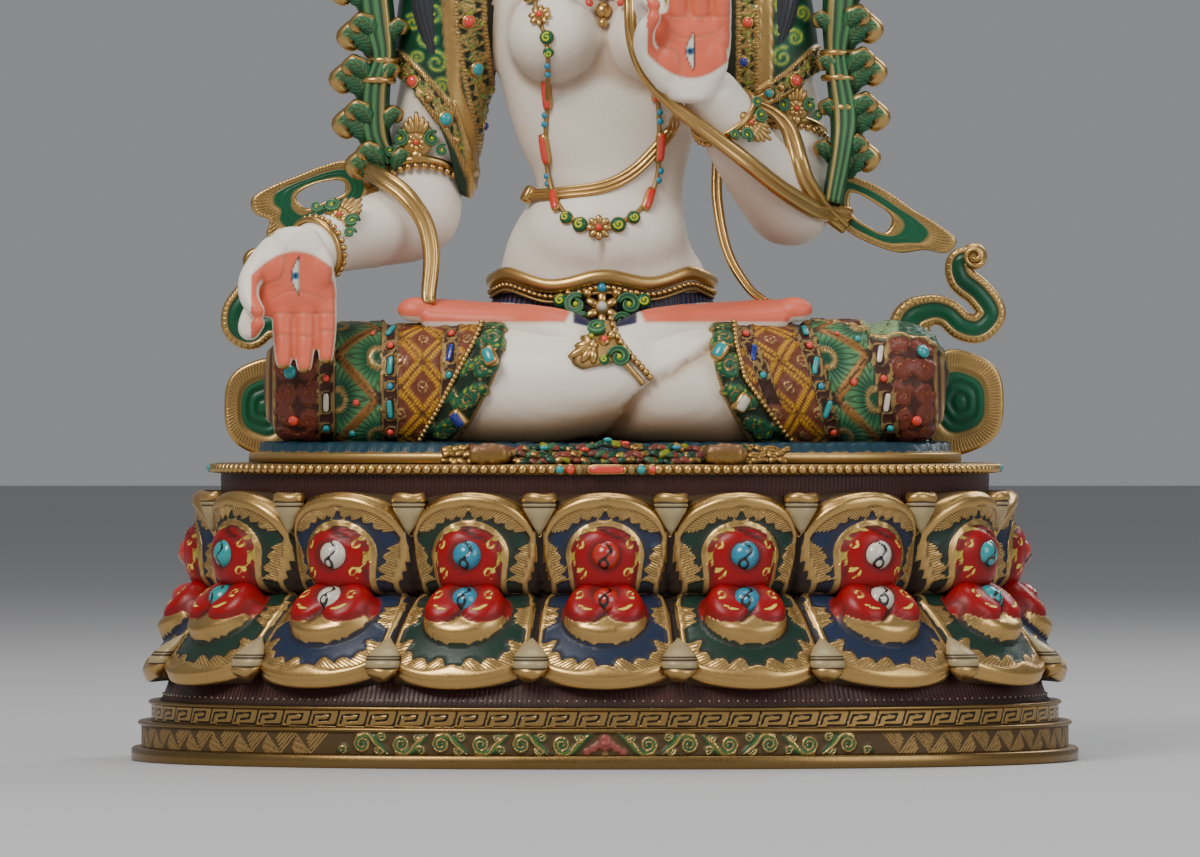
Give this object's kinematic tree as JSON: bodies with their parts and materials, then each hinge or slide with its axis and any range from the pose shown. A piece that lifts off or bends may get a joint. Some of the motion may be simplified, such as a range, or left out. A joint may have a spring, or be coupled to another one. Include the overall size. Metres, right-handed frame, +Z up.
{
  "type": "seated tara figure on a lotus base",
  "caption": "Painted and gilded cast Tara seated cross-legged on an oval double-lotus base, one hand lowered, one raised, between two lotus stems.",
  "frame": {"origin": "centre of the base's flat underside, on the surface that the statue stands on", "axes": "+Z is up, the figure faces -Y, and +X is to the right as seen from the front"},
  "size_m": [0.3798, 0.24, 0.4901],
  "materials": {
    "base_gilt": "cast copper alloy with aged gilding, painted grounds and dark recesses",
    "ivory_paint": "ivory white paint with a warm brown wash in the recesses",
    "gilt": "aged gilding, bright on the edges and dark in the recesses",
    "green_paint": "green paint worn to gilt along the edges"
  },
  "bodies": {
    "root": {"lotus_base": "base_gilt", "tara": "ivory_paint", "crown": "gilt", "lotus_stem_left": "green_paint", "lotus_stem_right": "green_paint", "scarf_left": "gilt", "scarf_right": "gilt", "hanging_ribbon": "gilt", "knee_scroll_left": "green_paint", "knee_scroll_right": "green_paint"}
  },
  "joints": []
}
